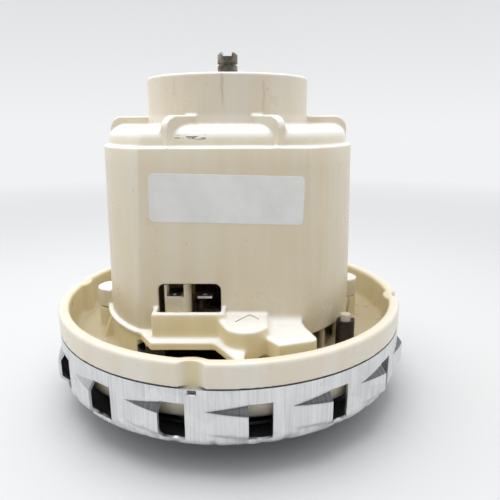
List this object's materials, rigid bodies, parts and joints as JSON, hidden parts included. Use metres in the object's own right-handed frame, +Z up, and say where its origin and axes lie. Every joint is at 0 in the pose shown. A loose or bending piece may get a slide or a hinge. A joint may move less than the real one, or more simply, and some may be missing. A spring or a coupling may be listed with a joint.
{
  "type": "vacuum motor unit",
  "caption": "Suction motor for a vacuum cleaner: moulded housing with flats and a collar, notched ring bracket, louvred pressed fan cover with a bottom air inlet.",
  "frame": {"origin": "on the motor axis, at the underside of the fan cover", "axes": "+Z up along the motor axis from the air inlet to the shaft's tip, -Y towards the flat with the terminal window, +X to its right"},
  "size_m": [0.1332, 0.1332, 0.1255],
  "materials": {
    "galvanised_sheet": "galvanised, faint brushed grain",
    "cream_plastic": "moulded cream plastic, satin",
    "zinc_steel": "zinc plated",
    "core_steel": "stacked laminations",
    "coil_copper": "enamelled copper wire",
    "bar_copper": "turned copper bars",
    "cast_aluminium": "die cast",
    "bearing_steel": "ground",
    "cage_brass": "pressed",
    "shaft_steel": "turned, slightly stained",
    "holder_brass": "bent sheet",
    "carbon": "graphite",
    "spring_steel": "drawn wire",
    "black_plastic": "moulded black plastic",
    "impeller_aluminium": "pressed sheet",
    "tab_tin": "tinned",
    "choke_ferrite": "pale rod",
    "choke_wire": "dark lacquered wire"
  },
  "bodies": {
    "frame": {"fan_cover": "galvanised_sheet", "base_bracket": "cream_plastic", "motor_housing": "cream_plastic", "housing_screws": "zinc_steel", "stator_core": "core_steel", "field_coil_front": "coil_copper", "field_coil_rear": "coil_copper", "stator_screws": "zinc_steel", "upper_bearing_bracket": "cast_aluminium", "upper_outer_ring": "bearing_steel", "lower_outer_ring": "bearing_steel", "brush_holder_right": "holder_brass", "brush_holder_left": "holder_brass", "brush_spring_right": "spring_steel", "brush_spring_left": "spring_steel", "terminal_block": "cream_plastic", "terminal_tab_left": "tab_tin", "terminal_tab_right": "tab_tin", "choke_core": "choke_ferrite", "choke_winding": "choke_wire"},
    "rotor": {"rotor_shaft": "shaft_steel", "upper_inner_ring": "bearing_steel", "lower_inner_ring": "bearing_steel", "armature_core": "core_steel", "armature_winding": "coil_copper", "commutator": "bar_copper", "cooling_fan": "black_plastic", "fan_washer": "zinc_steel", "fan_nut": "zinc_steel", "impeller_back_plate": "impeller_aluminium", "impeller_blades": "impeller_aluminium", "impeller_front_plate": "impeller_aluminium", "impeller_spacer": "zinc_steel", "impeller_washer": "zinc_steel", "impeller_nut": "zinc_steel"},
    "upper_ball_set": {"upper_balls": "bearing_steel", "upper_cage": "cage_brass"},
    "lower_ball_set": {"lower_balls": "bearing_steel", "lower_cage": "cage_brass"},
    "brush_right": {"carbon_brush_right": "carbon"},
    "brush_left": {"carbon_brush_left": "carbon"}
  },
  "joints": [
    {"name": "rotor_spin", "type": "hinge", "parent": "frame", "child": "rotor", "pos_m": [0, 0, 0.06], "axis": [0, 0, 1], "continuous": true},
    {"name": "upper_ball_spin", "type": "hinge", "parent": "frame", "child": "upper_ball_set", "pos_m": [0, 0, 0.0985], "axis": [0, 0, 1], "continuous": true},
    {"name": "lower_ball_spin", "type": "hinge", "parent": "frame", "child": "lower_ball_set", "pos_m": [0, 0, 0.029], "axis": [0, 0, 1], "continuous": true},
    {"name": "brush_right_slide", "type": "slide", "parent": "frame", "child": "brush_right", "axis": [1, 0, 0], "range_m": [0, 0.006], "stiffness_N_per_m": 150, "springref_m": -0.012, "deforming": ["brush_spring_right"]},
    {"name": "brush_left_slide", "type": "slide", "parent": "frame", "child": "brush_left", "axis": [-1, 0, 0], "range_m": [0, 0.006], "stiffness_N_per_m": 150, "springref_m": -0.012, "deforming": ["brush_spring_left"]}
  ],
  "couplings": [
    {"joint": "upper_ball_spin", "follows": "rotor_spin", "ratio": 0.37333},
    {"joint": "lower_ball_spin", "follows": "rotor_spin", "ratio": 0.37333}
  ]
}
